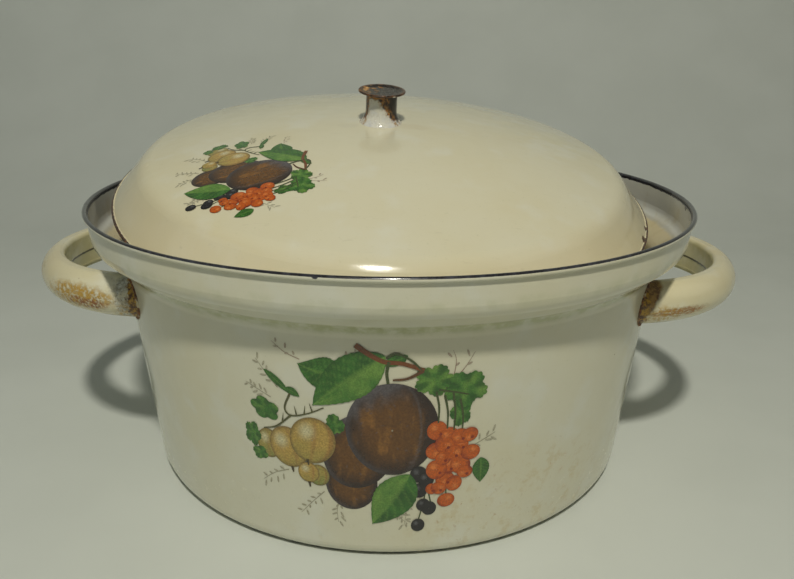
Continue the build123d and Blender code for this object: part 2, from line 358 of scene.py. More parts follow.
# ---- lid ----
def lid_material():
    s = Shader("lid_enamel_worn", coat=0.4)
    x, y, z = s.axes(lid_origin, lid_right, lid_back, lid_up)
    radius = s.length(x, y)
    tone = enamel_base(s, CREAM, CREAM_WARM, CREAM_PALE)
    # Painted shade: the steeper outer band is toned warmer and darker than the dome.
    band_shade = s.both(s.rise(s.wobble(radius, 30.0, 2.0), 137.0, 150.0), 0.45)
    tone = s.mix(band_shade, tone, (0.70, 0.60, 0.36))
    streak = s.both(s.rise(s.noise(3.0, 4.0, 0.6, stretch=(0.16, 1.0, 1.0), shift=61.0), 0.64, 0.74), 0.16)
    tone = s.mix(streak, tone, (0.36, 0.31, 0.19))

    # Painted shadow of the knob's cap lies on the lid on both sides of the knob, as faint patches.
    knob_x = s.math("SUBTRACT", x, KNOB_OFFSET)
    cap_shadow_right = s.near((s.wobble(knob_x, 6.0, 2.0), s.wobble(y, 5.0, 2.0)), (20.0, -6.0), (9.0, 5.5), 0.7)
    tone = s.mix(s.both(cap_shadow_right, 0.20), tone, (0.56, 0.44, 0.26))
    cap_shadow_left = s.near((s.wobble(knob_x, 6.0, 2.0), s.wobble(y, 5.0, 2.0)), (-19.0, -9.0), (6.0, 4.0), 0.7)
    tone = s.mix(s.both(cap_shadow_left, 0.18), tone, (0.52, 0.48, 0.36))

    # Bare edge: brown line round the bead, with chips that reach up the band.
    beyond = s.math("MULTIPLY", s.math("SUBTRACT", radius, LID_RADIUS), 0.75)
    outer = s.math("ADD", beyond, s.math("MULTIPLY", z, -0.66))
    ragged = s.wobble(outer, 3.0, 0.45, 4.0)
    edge = s.both(s.rise(ragged, -0.80, -0.62), s.rise(radius, 158.2, 158.9))
    chip_places = (
        ((148.0, -60.0, 1.2), (3.6, 3.2, 1.8)),
        ((153.0, -44.0, 1.0), (2.6, 3.0, 1.5)),
        ((-157.0, 30.0, 1.0), (3.0, 5.0, 1.8)),
        ((-60.0, 148.0, 1.0), (5.0, 3.0, 2.2)),
    )
    for centre, reach in chip_places:
        chip_and_highlight = s.near(tuple(s.wobble(a, 2.0, 1.2, 4.0) for a in (x, y, z)), centre, reach, 0.2)
        edge = s.either(edge, chip_and_highlight)
    brown = s.mix(s.rise(s.noise(2.2, 4.0, 0.65), 0.42, 0.62), (0.035, 0.022, 0.018), (0.16, 0.075, 0.035))
    tone = s.mix(edge, tone, brown)
    pits = s.specks(19.0, 0.42)
    tone = s.mix(s.both(pits, 0.7), tone, (0.20, 0.13, 0.07))
    scratch = s.both(s.rise(s.noise(1.0, 2.0, 0.5, stretch=(1.0, 0.05, 1.0), shift=140.0), 0.74, 0.78), 0.25)
    tone = s.mix(scratch, tone, (0.45, 0.38, 0.25))

    # Under the dome: limescale and rust round the rivet.
    under = s.rise(s.dot(s.normal, lid_up), -0.15, 0.0, 1.0, 0.0)
    under = s.both(under, s.rise(radius, 158.5, 159.5, 1.0, 0.0))
    scale = s.mix(s.rise(s.noise(12.0, 5.0, 0.65), 0.4, 0.68), (0.63, 0.56, 0.38), (0.50, 0.40, 0.22))
    tone = s.mix(under, tone, scale)
    rivet_axes = (s.wobble(knob_x, 4.0, 2.0), s.wobble(y, 4.0, 2.0))
    rivet_rust = s.both(s.near(rivet_axes, (0.0, 0.0), (11.0, 11.0), 0.6), under)
    tone = s.mix(rivet_rust, tone, RUST)
    s.colour(tone)
    rough = s.rise(s.noise(18.0, 4.0, 0.6, shift=5.0), 0.3, 0.75, 0.12, 0.24)
    s.rough(s.math("ADD", rough, s.both(s.either(edge, streak), 0.3)))
    enamel_relief(s, s.either(edge, pits))
    return s


lid_material().dress("lid_dome")


# ---- handles ----
def handle_material(side, name):
    s = Shader(name, coat=0.35)
    x, y, z = s.axes()
    seam_level = HANDLE_LEVELS[side] - SEAM_DROP
    out = s.math("SUBTRACT", s.math("MULTIPLY", x, float(side)), HANDLE_CENTRE)
    radius = s.length(out, y)
    turn = s.math("MULTIPLY", s.math("ARCTAN2", s.math("MULTIPLY", y, -1.0), out), 180.0 / math.pi)
    tone = enamel_base(s, (0.69, 0.635, 0.42), (0.65, 0.56, 0.33), CREAM_PALE)
    inner = s.rise(radius, HANDLE_INNER + 0.5, HANDLE_INNER + 1.6, 1.0, 0.0)

    # Painted shade inside the grip, patchy and yellowish, and a dark line along the closing seam.
    tone = s.mix(s.both(inner, s.rise(s.noise(9.0, 4.0), 0.35, 0.65, 0.2, 0.65)), tone, (0.50, 0.46, 0.24))
    seam = s.both(inner, s.between(s.wobble(z, 3.0, 0.5), seam_level - 0.55, seam_level + 0.75, 0.2))
    tone = s.mix(s.both(seam, 0.9), tone, (0.06, 0.05, 0.035))

    ragged_turn = s.wobble(turn, 5.0, 4.5, 4.0)
    back = s.math("MULTIPLY", ragged_turn, -1.0)
    if side < 0:
        patch = s.near((s.wobble(turn, 6.0, 5.0), s.wobble(z, 5.0, 2.2)), (61.0, 113.4), (17.0, 7.0), 0.6)
        grains = s.rise(s.noise(2.6, 5.0, 0.7), 0.41, 0.56)
        tone = s.mix(s.both(patch, grains, 0.95), tone, RUST_YELLOW)
        core = s.near((s.wobble(turn, 3.0, 4.0), s.wobble(z, 3.0, 2.0)), (65.0, 110.6), (9.5, 3.0), 0.5)
        fine = s.noise(1.8, 4.0, 0.7, shift=25.0)
        patch = s.either(s.both(patch, grains), s.both(core, s.rise(fine, 0.45, 0.58)))
        tone = s.mix(s.both(core, s.rise(fine, 0.42, 0.56)), tone, RUST)
        spot = s.near((s.wobble(turn, 2.5, 2.5), s.wobble(z, 2.5, 2.0)), (27.0, 119.5), (4.6, 4.2), 0.6)
        spotted = s.rise(s.noise(1.6, 4.0, 0.7, shift=65.0), 0.48, 0.62)
        tone = s.mix(s.both(spot, spotted), tone, (0.36, 0.24, 0.07))
        # Painted shadow of the flared mouth across the handle near its front root: a grey band with a
        # slanted edge, broken by chips, dark specks and rust streaks.
        broken = s.rise(s.noise(4.0, 4.0, 0.65, shift=44.0), 0.36, 0.52, 0.25, 1.0)
        flare_shadow_and_damage = s.both(s.rise(ragged_turn, 75.0, 80.0), broken)
        mottle = s.rise(s.noise(2.2, 5.0, 0.7, shift=80.0), 0.40, 0.62)
        shaded_band_tone = s.mix(mottle, (0.30, 0.28, 0.20), (0.60, 0.60, 0.52))
        shaded_band_tone = s.mix(s.rise(s.noise(1.3, 4.0, 0.7, shift=33.0), 0.58, 0.64), shaded_band_tone, (0.03, 0.03, 0.035))
        streaks = s.both(s.rise(z, 118.0, 102.0), s.rise(s.noise(2.4, 4.0, 0.7, shift=19.0), 0.45, 0.6))
        shaded_band_tone = s.mix(streaks, shaded_band_tone, RUST_YELLOW)
        tone = s.mix(flare_shadow_and_damage, tone, shaded_band_tone)
        root = s.rise(s.wobble(turn, 2.2, 3.2, 4.0), 82.5, 83.8)
        crackle = s.rise(s.cells(7.0, "DISTANCE_TO_EDGE"), 0.10, 0.22, 1.0, 0.0)
        crazed = s.both(crackle, inner, s.near((turn, z), (-44.0, 118.5), (17.0, 7.0), 0.5))
        tone = s.mix(s.both(crazed, 0.8), tone, (0.05, 0.045, 0.04))
    else:
        patch = s.near((s.wobble(turn, 4.0, 4.5), s.wobble(z, 2.4, 1.8)), (71.0, 108.6), (13.0, 2.6), 0.7)
        streaked = s.noise(2.0, 5.0, 0.7, stretch=(0.5, 1.0, 2.0))
        patch = s.both(patch, s.rise(streaked, 0.42, 0.54))
        tone = s.mix(s.both(patch, 0.92), tone, (0.36, 0.15, 0.022))
        halo = s.near((s.wobble(turn, 5.0, 5.0), s.wobble(z, 4.0, 2.4)), (77.0, 107.4), (9.0, 5.4), 0.8)
        dusted = s.rise(s.noise(2.6, 5.0, 0.7, shift=12.0), 0.42, 0.62)
        tone = s.mix(s.both(halo, dusted, 0.8), tone, RUST_YELLOW)
        # Painted shadow of the flared mouth across the handle near its front root, toned dark rust brown:
        # shadow and rust together.
        higher = s.math("MULTIPLY", s.math("SUBTRACT", z, 112.0), 0.42)
        slope = s.math("ADD", s.wobble(turn, 4.0, 1.6, 4.0), higher)
        flare_shadow_and_damage = s.rise(slope, 81.5, 83.3)
        mottle = s.rise(s.noise(2.6, 5.0, 0.7, shift=80.0), 0.38, 0.62)
        dark = s.mix(mottle, (0.34, 0.20, 0.055), (0.11, 0.050, 0.014))
        tone = s.mix(flare_shadow_and_damage, tone, dark)
        root = s.rise(s.wobble(turn, 2.0, 3.0, 4.0), 83.0, 84.6)
    root_tone = s.mix(s.rise(s.noise(2.2, 4.0, 0.7, shift=71.0), 0.40, 0.60), RUST_DARK, RUST_YELLOW)
    tone = s.mix(root, tone, root_tone)

    # The rear roots are chipped and rusted too.
    rear = s.rise(back, 76.5, 79.5)
    rear_tone = s.mix(s.rise(s.noise(2.4, 5.0, 0.7, shift=51.0), 0.42, 0.6), RUST_DARK, RUST)
    tone = s.mix(s.both(rear, s.rise(s.noise(4.5, 4.0, 0.6, shift=13.0), 0.40, 0.50)), tone, rear_tone)
    rear_patches = s.rise(s.noise(3.4, 5.0, 0.7, shift=15.0), 0.46, 0.60)
    rear_inner = s.both(inner, s.rise(back, 54.0, 72.0), rear_patches)
    tone = s.mix(s.both(rear_inner, 0.85), tone, RUST)
    pits = s.specks(9.0, 0.4, 14.0)
    tone = s.mix(s.both(pits, 0.8), tone, (0.24, 0.14, 0.05))
    s.colour(tone)
    damage = s.either(patch, flare_shadow_and_damage, root, rear, pits)
    rough = s.rise(s.noise(10.0, 4.0, 0.6), 0.3, 0.75, 0.13, 0.26)
    s.rough(s.math("ADD", rough, s.both(damage, 0.38), clamp=True))
    enamel_relief(s, damage)
    return s


handle_material(-1, "left_handle_enamel").dress("handle_left_shell", "handle_left_strip")
handle_material(1, "right_handle_enamel").dress("handle_right_shell", "handle_right_strip")


# ---- knob ----
def knob_stem_material():
    s = Shader("knob_enamel_chipped", coat=0.3)
    x, y, z = s.axes(knob_origin, lid_right, lid_back, lid_up)
    turn = s.math("MULTIPLY", s.math("ARCTAN2", x, s.math("MULTIPLY", y, -1.0)), 180.0 / math.pi)
    climb = s.math("DIVIDE", s.math("SUBTRACT", z, LID_CROWN + 1.0), 15.0)
    ragged = s.wobble(turn, 2.6, 13.0, 4.0)
    right_limit = s.math("SUBTRACT", 52.0, s.math("MULTIPLY", climb, 66.0))
    left_limit = s.math("SUBTRACT", s.math("MULTIPLY", climb, 14.0), 62.0)
    past_right = s.math("SUBTRACT", ragged, right_limit)
    past_left = s.math("SUBTRACT", left_limit, ragged)
    outside = s.math("MAXIMUM", past_right, past_left)
    kept = s.rise(outside, -3.0, 3.0, 1.0, 0.0)
    kept = s.both(kept, s.rise(s.wobble(climb, 2.0, 0.12), 0.93, 0.99, 1.0, 0.0))
    skirt = s.rise(s.wobble(climb, 3.0, 0.16), 0.04, 0.14, 1.0, 0.0)
    stem_axes = (s.wobble(turn, 4.0, 14.0), s.wobble(z, 3.0, 2.0))
    back_piece = s.near(stem_axes, (150.0, LID_CROWN + 4.0), (32.0, 6.0), 0.5)
    kept = s.either(kept, skirt, back_piece)
    streaked = s.rise(s.noise(2.6, 4.0, 0.6, stretch=(1.0, 1.0, 0.3)), 0.4, 0.7)
    ground = s.mix(streaked, (0.010, 0.008, 0.009), (0.06, 0.045, 0.035))
    border = s.rise(outside, 4.0, 30.0, 1.0, 0.0)
    top_band = s.rise(climb, 0.72, 0.9)
    border_rust = s.both(border, s.rise(s.noise(2.0, 4.0, 0.7), 0.44, 0.54))
    top_grains = s.rise(s.noise(1.8, 4.0, 0.7, shift=22.0), 0.48, 0.56)
    top_rust = s.both(top_band, top_grains, s.between(turn, -70.0, 30.0, 6.0))
    rust_mask = s.either(border_rust, top_rust)
    shade = s.rise(s.noise(1.4, 4.0, 0.7, shift=9.0), 0.42, 0.62)
    rusty = s.mix(shade, (0.34, 0.13, 0.025), (0.46, 0.27, 0.09))
    ground = s.mix(rust_mask, ground, rusty)
    white = s.mix(s.rise(s.noise(6.0, 3.0), 0.4, 0.7), (0.72, 0.70, 0.60), (0.66, 0.66, 0.62))
    rim_grains = s.rise(s.noise(1.7, 4.0, 0.7, shift=35.0), 0.46, 0.58)
    brown_rim = s.both(kept, s.rise(outside, -14.0, -3.0), rim_grains)
    white = s.mix(s.both(brown_rim, 0.8), white, (0.40, 0.22, 0.07))
    s.colour(s.mix(kept, ground, white))
    s.rough(s.rise(s.math("ADD", kept, s.noise(3.0, 3.0)), 0.3, 1.3, 0.36, 0.14))
    s.relief((s.noise(1.6, 4.0, 0.6), 0.12), (kept, 0.35), (rust_mask, 0.12))
    return s


def knob_cap_material():
    s = Shader("knob_cap_rusted", coat=0.15)
    x, y, z = s.axes(knob_origin, lid_right, lid_back, lid_up)
    radius = s.length(x, y)
    ground = s.mix(s.rise(s.noise(3.0, 5.0, 0.65), 0.38, 0.66), (0.010, 0.008, 0.008), (0.045, 0.028, 0.018))
    bias = s.rise(s.math("ADD", x, s.math("MULTIPLY", y, -0.25)), -14.0, 12.0, 0.10, -0.14)
    rust = s.rise(s.math("ADD", s.noise(3.4, 5.0, 0.68, shift=17.0), bias), 0.56, 0.64)
    orange = s.mix(s.rise(s.noise(1.5, 4.0, 0.7), 0.4, 0.62), (0.34, 0.13, 0.025), (0.62, 0.40, 0.16))
    tone = s.mix(rust, ground, orange)
    rolled = s.rise(radius, 11.6, 12.6)
    shade = s.rise(s.noise(2.0, 4.0, 0.7, shift=40.0), 0.45, 0.6)
    brown = s.mix(shade, (0.03, 0.018, 0.012), (0.20, 0.085, 0.03))
    tone = s.mix(s.both(rolled, 0.7), tone, brown)
    # Painted highlight: a small pale spot on the front of the rolled rim.
    cap_axes = (s.wobble(x, 1.2, 0.5), s.wobble(y, 1.2, 0.5), z)
    chip_and_highlight = s.near(cap_axes, (7.4, -11.6, CAP_LEVEL + 1.2), (1.1, 1.4, 0.8), 0.4)
    tone = s.mix(chip_and_highlight, tone, (0.80, 0.76, 0.66))
    s.colour(tone)
    s.rough(s.rise(s.math("ADD", rust, s.noise(2.4, 4.0)), 0.35, 1.2, 0.24, 0.72))
    s.relief((s.noise(1.7, 5.0, 0.65), 0.22), (rust, 0.14))
    return s


knob_stem_material().dress("lid_knob_stem")
knob_cap_material().dress("lid_knob_cap")


def wire_material(name, rusty):
    """Bright plated steel dulled by use, with scattered rust."""
    s = Shader(name, metallic=0.85, roughness=0.34)
    bloom = s.rise(s.noise(9.0, 4.0, 0.6), 0.35, 0.7)
    tone = s.mix(bloom, (0.58, 0.57, 0.54), (0.40, 0.39, 0.36))
    rust = s.rise(s.noise(5.0, 5.0, 0.7, shift=28.0), 0.62 - rusty, 0.70 - rusty)
    tone = s.mix(s.both(rust, 0.85), tone, (0.22, 0.11, 0.045))
    s.colour(tone)
    s.rough(s.rise(s.math("ADD", rust, s.noise(3.0, 4.0)), 0.3, 1.3, 0.26, 0.75))
    s.relief((s.noise(1.2, 3.0, 0.6), 0.05), (rust, 0.06))
    return s


wire_material("rack_wire_plated", 0.02).dress(
    "rack_base_hoop", "rack_top_hoop", "rack_hub_hoop", "rack_posts",
    "rack_cross_wires", "rack_stiffeners", "rack_spokes", "rack_bail_eyes",
)
wire_material("bail_wire_plated", 0.0).dress("rack_bail")
wire_material("rivet_dull_steel", 0.08).dress("lid_knob_rivet")


# ---- meshes ----
def add_piece(name, points, faces, material, body, tones=None, smooth=True):
    """A mesh piece in the shared frame, from points in millimetres, riding on a CAD body."""
    mesh = bpy.data.meshes.new(name)
    mesh.from_pydata([tuple(c * MM for c in p) for p in points], [], faces)
    mesh.validate()
    mesh.update()
    if tones:
        layer = mesh.color_attributes.new("tone", "FLOAT_COLOR", "POINT")
        for item, tone in zip(layer.data, tones):
            item.color = (*tone, 1.0)
    for polygon in mesh.polygons:
        polygon.use_smooth = smooth
    piece = bpy.data.objects.new(name, mesh)
    bpy.context.scene.collection.objects.link(piece)
    mesh.materials.append(material)
    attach(piece, body)
    return piece


# ---- weld beads round the handle roots ----
def section_outline(steps):
    """Points (radius from the handle's axis, level) round a handle's outer section."""
    inner = HANDLE_INNER
    crown_middle = inner + HANDLE_DEPTH - HANDLE_CROWN
    half = HANDLE_HALF - 0.4
    shoulder = crown_middle + math.sqrt(HANDLE_CROWN ** 2 - half ** 2)
    corner = 3.0
    path = []
    for index in range(steps):
        leg, along = divmod(index * 4 / steps, 1.0)
        if leg == 0:
            level = -half + 2 * half * along
            path.append((crown_middle + math.sqrt(HANDLE_CROWN ** 2 - level ** 2), level))
        elif leg == 1:
            path.append((shoulder + (inner + corner - shoulder) * along, HANDLE_HALF))
        elif leg == 2:
            level = HANDLE_HALF * math.cos(math.pi * along)
            over = max(0.0, abs(level) - (HANDLE_HALF - corner))
            path.append((inner + corner - math.sqrt(corner ** 2 - over ** 2), level))
        else:
            path.append((inner + corner + (shoulder - inner - corner) * along, -HANDLE_HALF))
    return path


def pot_radius(level):
    return BASE_RADIUS + (SHOULDER_RADIUS - BASE_RADIUS) * level / SHOULDER_HEIGHT


def weld_bead(side, end):
    """A lumpy fillet of weld where one end of a handle meets the wall of the pot."""
    loop = []
    for reach, level in section_outline(72):
        height = HANDLE_LEVELS[side] + level
        wall = pot_radius(height)
        out = (wall ** 2 - reach ** 2 + HANDLE_CENTRE ** 2) / (2 * HANDLE_CENTRE)
        aside = math.sqrt(max(0.0, wall ** 2 - out ** 2))
        loop.append(Vector((side * out, end * aside, height)))
    points, faces = [], []
    around = 8
    count = len(loop)
    for index, centre in enumerate(loop):
        ahead = (loop[(index + 1) % count] - loop[index - 1]).normalized()
        wall_normal = Vector((centre.x, centre.y, 0)).normalized()
        cross = ahead.cross(wall_normal).normalized()
        size = 1.15 + 0.28 * math.sin(index * 1.9) + rng.uniform(-0.16, 0.16)
        for spoke in range(around):
            angle = 2 * math.pi * spoke / around
            points.append(centre + (cross * math.cos(angle) + wall_normal * math.sin(angle) * 0.8) * size)
    for index in range(count):
        ahead = (index + 1) % count
        for spoke in range(around):
            beside = (spoke + 1) % around
            here, there = index * around, ahead * around
            faces.append((here + spoke, there + spoke, there + beside, here + beside))
    return points, faces


def weld_material():
    s = Shader("weld_rusted", roughness=0.6)
    tone = s.mix(s.rise(s.noise(2.2, 5.0, 0.7), 0.40, 0.62), RUST_DARK, RUST)
    cream = s.rise(s.noise(6.5, 4.0, 0.6, shift=47.0), 0.50, 0.60)
    tone = s.mix(cream, tone, (0.58, 0.50, 0.31))
    s.colour(tone)
    s.rough(s.rise(cream, 0.0, 1.0, 0.62, 0.25))
    s.relief((s.noise(1.0, 4.0, 0.65), 0.3))
    return s.material


welds = weld_material()
for side, label in ((-1, "left"), (1, "right")):
    for end, where in ((-1, "front"), (1, "rear")):
        bead_points, bead_faces = weld_bead(side, end)
        add_piece(f"weld_{label}_{where}", bead_points, bead_faces, welds, "pot")


# ---- printed fruit motif ----
# The motif is drawn flat, in millimetres, x across and y up, as it lies on the front of the
# pot. The lid carries the same motif, smaller and turned.
PRINT_RADIUS = 156.0
PRINT_LIFT = 0.10
LAYER_LIFT = 0.035
LID_PRINT_SCALE = 0.691
LID_PRINT_TURN = math.radians(-62.2)
LID_PRINT_PLACE = Vector((-112.8, -96.5))
CROWN_RISE = LID_CROWN - LID_BAND_HEIGHT
CROWN_SPHERE = (LID_BAND_RADIUS ** 2 + CROWN_RISE ** 2) / (2 * CROWN_RISE)


def on_pot(x, y, lift):
    turn = x / PRINT_RADIUS
    radius = pot_radius(y) + lift
    return Vector((radius * math.sin(turn), -radius * math.cos(turn), y))


def on_lid(x, y, lift):
    c, s = math.cos(LID_PRINT_TURN), math.sin(LID_PRINT_TURN)
    along = LID_PRINT_PLACE.x + LID_PRINT_SCALE * (x * c - y * s)
    back = LID_PRINT_PLACE.y + LID_PRINT_SCALE * (x * s + y * c)
    rise = math.sqrt(CROWN_SPHERE ** 2 - along ** 2 - back ** 2)
    point = Vector((along, back, LID_CROWN - CROWN_SPHERE + rise))
    normal = Vector((along, back, rise)).normalized()
    point += normal * lift
    return lid_origin + lid_right * point.x + lid_back * point.y + lid_up * point.z


def blend_tone(a, b, share):
    share = min(1.0, max(0.0, share))
    return tuple(p + (q - p) * share for p, q in zip(a, b))


def step(value, low, high):
    share = min(1.0, max(0.0, (value - low) / (high - low)))
    return share * share * (3 - 2 * share)


def grain(x, y, size, seed=0.0):
    return noise.fractal(Vector((x / size, y / size, seed)), 0.9, 2.1, 4)


class Print:
    """Flat printed shapes of one kind, collected before they are wrapped on to a surface."""

    def __init__(self):
        self.points = []
        self.tones = []
        self.faces = []

    def grid(self, rows, layer, closed=False):
        """rows of (x, y, tone); neighbouring rows are joined with quads."""
        start = len(self.points)
        width = len(rows[0])
        for row in rows:
            for x, y, tone in row:
                self.points.append((x, y, layer))
                self.tones.append(tone)
        for r in range(len(rows) - 1):
            for c in range(width if closed else width - 1):
                d = (c + 1) % width
                a = start + r * width
                self.faces.append((a + c, a + d, a + width + d, a + width + c))

    def disc(self, x, y, wide, high, layer, tone, turn=0.0, outline=None, rings=10, around=40):
        c, s = math.cos(turn), math.sin(turn)
        rows = []
        for ring in range(rings + 1):
            share = max(ring / rings, 0.02)
            row = []
            for spoke in range(around):
                angle = 2 * math.pi * spoke / around
                reach = share * (outline(angle) if outline else 1.0)
                px, py = reach * math.cos(angle), reach * math.sin(angle)
                ax, ay = px * wide, py * high
                row.append((x + ax * c - ay * s, y + ax * s + ay * c, tone(px, py)))
            rows.append(row)
        self.grid(rows, layer, closed=True)

    def leaf(self, base, tip, wide, bend, layer, tone, teeth=11):
        """A toothed leaf along a bent midrib; its two halves are toned apart."""
        base, tip = Vector(base), Vector(tip)
        along = tip - base
        side = Vector((-along.y, along.x)).normalized()
        middle = (base + tip) / 2 + side * bend
        rows = []
        steps, half = 44, 6
        for i in range(steps + 1):
            t = i / steps
            spine = base * (1 - t) ** 2 + middle * 2 * t * (1 - t) + tip * t * t
            heading = ((middle - base) * (1 - t) + (tip - middle) * t).normalized()
            across = Vector((-heading.y, heading.x))
            swell = math.sin(math.pi * t ** 0.82) ** 0.85
            tooth = 1.0 + 0.09 * abs((t * teeth) % 1.0 - 0.35)
            row = []
            for j in range(-half, half + 1):
                share = j / half
                reach = wide * swell * share * (tooth if abs(share) > 0.9 else 1.0)
                point = spine + across * reach + heading * (-0.10 * wide * abs(share))
                row.append((point.x, point.y, tone(t, share)))
            rows.append(row)
        self.grid(rows, layer)

    def ribbon(self, path, wide, layer, tone, thin=0.5):
        """A stroke through the points, smoothed, tapering to thin of its width at the end."""
        path = [Vector(p) for p in path]
        ends = [path[0] * 2 - path[1]] + path + [path[-1] * 2 - path[-2]]
        line = []
        for a, b, c, d in zip(ends, ends[1:], ends[2:], ends[3:]):
            for k in range(6):
                t = k / 6
                square = (2 * a - 5 * b + 4 * c - d) * t * t
                cube = (3 * b - a - 3 * c + d) * t ** 3
                line.append(0.5 * (2 * b + (c - a) * t + square + cube))
        line.append(path[-1])
        rows = []
        for index, point in enumerate(line):
            ahead = line[min(index + 1, len(line) - 1)] - line[max(index - 1, 0)]
            side = Vector((-ahead.y, ahead.x)).normalized()
            share = index / (len(line) - 1)
            reach = wide / 2 * (1 - (1 - thin) * share)
            rows.append([(*(point + side * reach * k), tone) for k in (-1, 0, 1)])
        self.grid(rows, layer)

    def wrap(self, name, surface, material, body, slot):
        points = [surface(x, y, PRINT_LIFT + LAYER_LIFT * layer) for x, y, layer in self.points]
        add_piece(name, points, self.faces, material, body, self.tones)


PLUM = (0.150, 0.060, 0.008)
PLUM_DARK = (0.028, 0.013, 0.010)
PLUM_GLOW = (0.27, 0.115, 0.018)
BLOOM = (0.120, 0.108, 0.118)
LEAF_DARK = (0.022, 0.105, 0.012)
LEAF = (0.045, 0.185, 0.022)
LEAF_LIGHT = (0.17, 0.34, 0.055)
CURRANT = (0.62, 0.115, 0.003)
CURRANT_LIGHT = (0.86, 0.26, 0.05)
CURRANT_DARK = (0.28, 0.030, 0.004)
BERRY = (0.014, 0.011, 0.013)
BERRY_LIGHT = (0.13, 0.13, 0.14)
GOOSE = (0.56, 0.37, 0.085)
GOOSE_GREEN = (0.24, 0.30, 0.07)
GOOSE_STRIPE = (0.36, 0.16, 0.045)
TWIG = (0.20, 0.060, 0.012)
STALK = (0.060, 0.085, 0.022)
THORN = (0.10, 0.10, 0.03)
FAINT = (0.42, 0.39, 0.27)
FAINT_RED = (0.42, 0.31, 0.23)


def plum_tone(bloom, seed, crease=None):
    """Brown skin with glow streaks, a dull bloom at the top left, and maybe a crease."""
    def tone(x, y):
        reach = math.hypot(x, y)
        colour = blend_tone(PLUM, PLUM_DARK, step(reach, 0.45, 1.0))
        streak = step(grain(x * 2.6, y * 0.9, 0.55, seed), 0.05, 0.55)
        colour = blend_tone(colour, PLUM_GLOW, streak * 0.95 * step(reach, 1.0, 0.5))
        top = y * 0.9 - x * 0.45 + 0.40 * grain(x * 2.2, y * 1.0, 0.6, seed + 4)
        colour = blend_tone(colour, BLOOM, bloom * step(top, 0.42, 1.0))
        edge = step(reach, 0.84, 0.97) * step(-x * 0.8 - 0.1 * y, -0.15, 0.5)
        colour = blend_tone(colour, BLOOM, 0.40 * edge)
        if crease is not None:
            line = x - crease * math.sqrt(max(0.0, 1.0 - 0.8 * y * y))
            colour = blend_tone(colour, PLUM_DARK, 0.7 * step(line, 0.0, 0.10))
            colour = blend_tone(colour, BLOOM, 0.5 * step(abs(line), 0.045, 0.0))
        spark = step(grain(x, y, 0.07, seed + 9), 0.62, 0.75)
        return blend_tone(colour, BLOOM, 0.5 * spark)
    return tone


def leaf_tone(seed, pale_side=0, veins=8.0):
    """Green with pale veins; pale_side is the half that shows its underside, or 0."""
    def tone(along, share):
        colour = blend_tone(LEAF, LEAF_DARK, 0.5 + 0.9 * grain(along * 3, share, 0.7, seed))
        if pale_side and share * pale_side > 0.0:
            colour = blend_tone(LEAF_LIGHT, LEAF, 0.35 + 0.8 * grain(along * 2, share, 0.5, seed + 3))
        phase = (along * veins - abs(share) * 1.7) % 1.0
        colour = blend_tone(colour, LEAF_LIGHT, 0.42 * step(abs(phase - 0.5), 0.16, 0.02))
        colour = blend_tone(colour, LEAF_LIGHT, 0.65 * step(abs(share), 0.12, 0.0))
        return blend_tone(colour, LEAF_DARK, 0.5 * step(abs(share), 0.85, 1.0))
    return tone


def vine_tone(seed, pale):
    def tone(x, y):
        reach = math.hypot(x, y)
        colour = blend_tone(LEAF, LEAF_LIGHT, pale + 0.9 * grain(x, y, 0.5, seed))
        angle = math.atan2(y, x)
        vein = abs(math.sin(2.5 * angle + seed))
        colour = blend_tone(colour, LEAF_DARK, 0.8 * step(vein, 0.55, 0.95) * step(reach, 0.1, 0.6))
        return blend_tone(colour, LEAF_LIGHT, 0.6 * step(vein, 0.12, 0.0))
    return tone


def lobed(lobes, seed):
    def outline(angle):
        lobe = abs(math.cos(lobes / 2 * angle + seed)) ** 0.7
        return 0.70 + 0.28 * lobe + 0.05 * math.sin(lobes * 4 * angle + seed * 3)
    return outline


def round_tone(body, light, dark, seed):
    """A small glossy fruit: light from the top left and a dark far edge."""
    def tone(x, y):
        colour = blend_tone(body, dark, step(x * 0.5 - y * 0.6 + 0.3 * grain(x, y, 0.5, seed), 0.25, 0.95))
        colour = blend_tone(colour, light, 0.75 * step(math.hypot(x + 0.28, y - 0.30), 0.50, 0.05))
        return blend_tone(colour, dark, 0.55 * step(math.hypot(x, y), 0.82, 1.0))
    return tone


def goose_tone(seed, green):
    def tone(x, y):
        greener = green + 0.38 * step(-y, -0.2, 0.9) + 0.22 * grain(x, y, 0.5, seed)
        colour = blend_tone(GOOSE, GOOSE_GREEN, greener)
        width = math.sqrt(max(0.05, 1.0 - y * y))
        stripe = math.sin(x / width * 8.5 + seed)
        colour = blend_tone(colour, GOOSE_STRIPE, 0.55 * step(stripe, 0.35, 0.95) * step(x, -0.9, 0.6))
        pale = step(math.hypot(x + 0.30, y - 0.35), 0.55, 0.05)
        colour = blend_tone(colour, (0.72, 0.68, 0.42), 0.8 * pale)
        return blend_tone(colour, (0.16, 0.11, 0.035), 0.7 * step(math.hypot(x, y), 0.78, 1.0))
    return tone


def flat_tone(colour):
    return lambda x, y: colour


